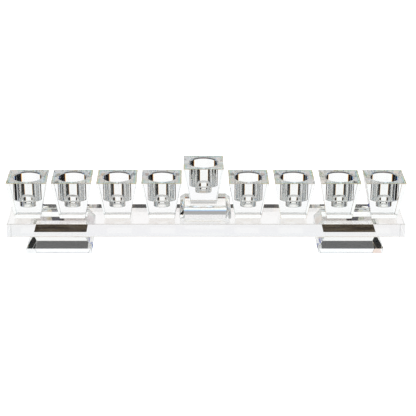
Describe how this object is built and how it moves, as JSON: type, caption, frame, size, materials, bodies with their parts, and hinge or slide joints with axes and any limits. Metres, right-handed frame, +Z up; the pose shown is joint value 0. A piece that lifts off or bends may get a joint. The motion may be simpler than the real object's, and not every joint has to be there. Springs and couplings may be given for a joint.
{
  "type": "crystal menorah",
  "caption": "Clear crystal menorah: a long slab on bevelled block feet carries a row of flared square cups with round stepped seats, the middle one raised on a bevelled block.",
  "frame": {"origin": "centre of the bounding box's underside: on the ground, below the middle of the bar", "axes": "+X along the bar towards cup_8, +Y towards the back, +Z up; right-handed"},
  "size_m": [0.396, 0.065, 0.0843],
  "materials": {
    "crystal": "polished, clear, faint green-blue in depth",
    "clear_adhesive": "clear cured film between polished faces"
  },
  "bodies": {
    "root": {"bar": "crystal", "riser": "crystal", "foot_left": "crystal", "foot_right": "crystal", "shamash_cup": "crystal", "cup_1": "crystal", "cup_2": "crystal", "cup_3": "crystal", "cup_4": "crystal", "cup_5": "crystal", "cup_6": "crystal", "cup_7": "crystal", "cup_8": "crystal", "bond_foot_left": "clear_adhesive", "bond_foot_right": "clear_adhesive", "bond_riser": "clear_adhesive", "bond_shamash_cup": "clear_adhesive", "bond_cup_1": "clear_adhesive", "bond_cup_2": "clear_adhesive", "bond_cup_3": "clear_adhesive", "bond_cup_4": "clear_adhesive", "bond_cup_5": "clear_adhesive", "bond_cup_6": "clear_adhesive", "bond_cup_7": "clear_adhesive", "bond_cup_8": "clear_adhesive"}
  },
  "joints": []
}
